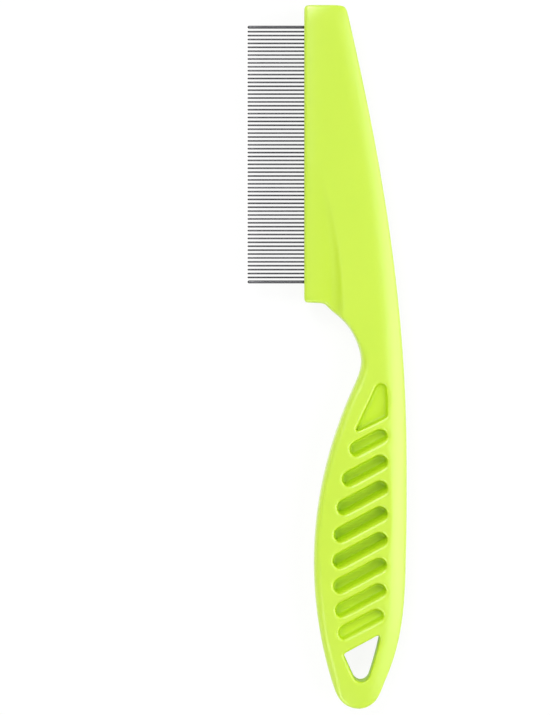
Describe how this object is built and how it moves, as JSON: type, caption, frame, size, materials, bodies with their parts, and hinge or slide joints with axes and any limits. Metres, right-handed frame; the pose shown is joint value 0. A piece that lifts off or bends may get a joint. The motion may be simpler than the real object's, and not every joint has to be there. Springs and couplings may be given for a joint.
{
  "type": "flea comb",
  "caption": "Long-handled flea comb: a swelling plastic handle with finger grooves and a hanging hole, and a row of fine steel pins between two guard pins.",
  "frame": {"origin": "middle of the comb's box at the level it lies on", "axes": "+Y runs along the comb to the head, +Z is the thickness, and the pins point to -X"},
  "size_m": [0.0407, 0.18, 0.01],
  "materials": {
    "handle_plastic": "satin",
    "pin_steel": "polished"
  },
  "bodies": {
    "root": {"handle": "handle_plastic", "needle_pair_01": "pin_steel", "needle_pair_02": "pin_steel", "needle_pair_03": "pin_steel", "needle_pair_04": "pin_steel", "needle_pair_05": "pin_steel", "needle_pair_06": "pin_steel", "needle_pair_07": "pin_steel", "needle_pair_08": "pin_steel", "needle_pair_09": "pin_steel", "needle_pair_10": "pin_steel", "needle_pair_11": "pin_steel", "needle_pair_12": "pin_steel", "needle_pair_13": "pin_steel", "needle_pair_14": "pin_steel", "needle_pair_15": "pin_steel", "needle_pair_16": "pin_steel", "needle_pair_17": "pin_steel", "needle_pair_18": "pin_steel", "needle_pair_19": "pin_steel", "needle_pair_20": "pin_steel", "needle_pair_21": "pin_steel", "needle_pair_22": "pin_steel", "needle_pair_23": "pin_steel", "needle_pair_24": "pin_steel", "needle_pair_25": "pin_steel", "needle_pair_26": "pin_steel", "needle_pair_27": "pin_steel", "needle_pair_28": "pin_steel", "needle_pair_29": "pin_steel", "needle_pair_30": "pin_steel", "needle_pair_31": "pin_steel", "needle_pair_32": "pin_steel", "guard_pin_grip_end": "pin_steel", "guard_pin_head_end": "pin_steel"}
  },
  "joints": []
}
